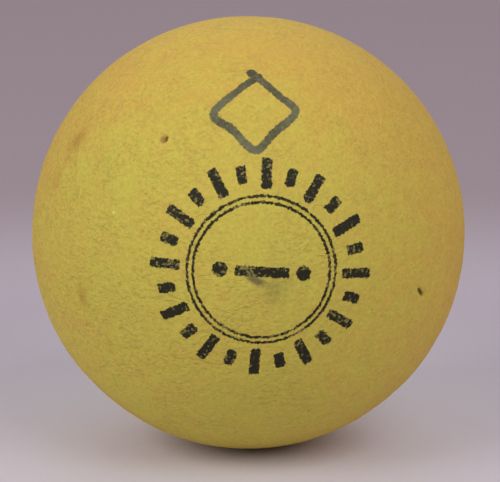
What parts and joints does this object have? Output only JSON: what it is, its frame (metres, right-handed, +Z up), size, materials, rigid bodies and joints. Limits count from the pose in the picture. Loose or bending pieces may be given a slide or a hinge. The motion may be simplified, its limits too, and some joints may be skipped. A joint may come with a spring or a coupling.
{
  "type": "mini golf ball",
  "caption": "Matte yellow rubber mini golf ball: a springy solid core closed in a moulded half-shell cover with a stepped seam, for putting along a mini golf lane.",
  "frame": {"origin": "centre of the ball", "axes": "+Z up as the ball rests, -Y out through the middle of the printed face, +X to the right as seen from the printed face; the cover's parting plane is XZ"},
  "size_m": [0.038, 0.038, 0.038],
  "materials": {
    "cover_rubber": "matte, fine grained, with a worn black stamp and a felt-pen mark on the front half",
    "core_rubber": "matte, as moulded"
  },
  "bodies": {
    "root": {"core": "core_rubber", "cover_front": "cover_rubber", "cover_back": "cover_rubber"}
  },
  "joints": []
}
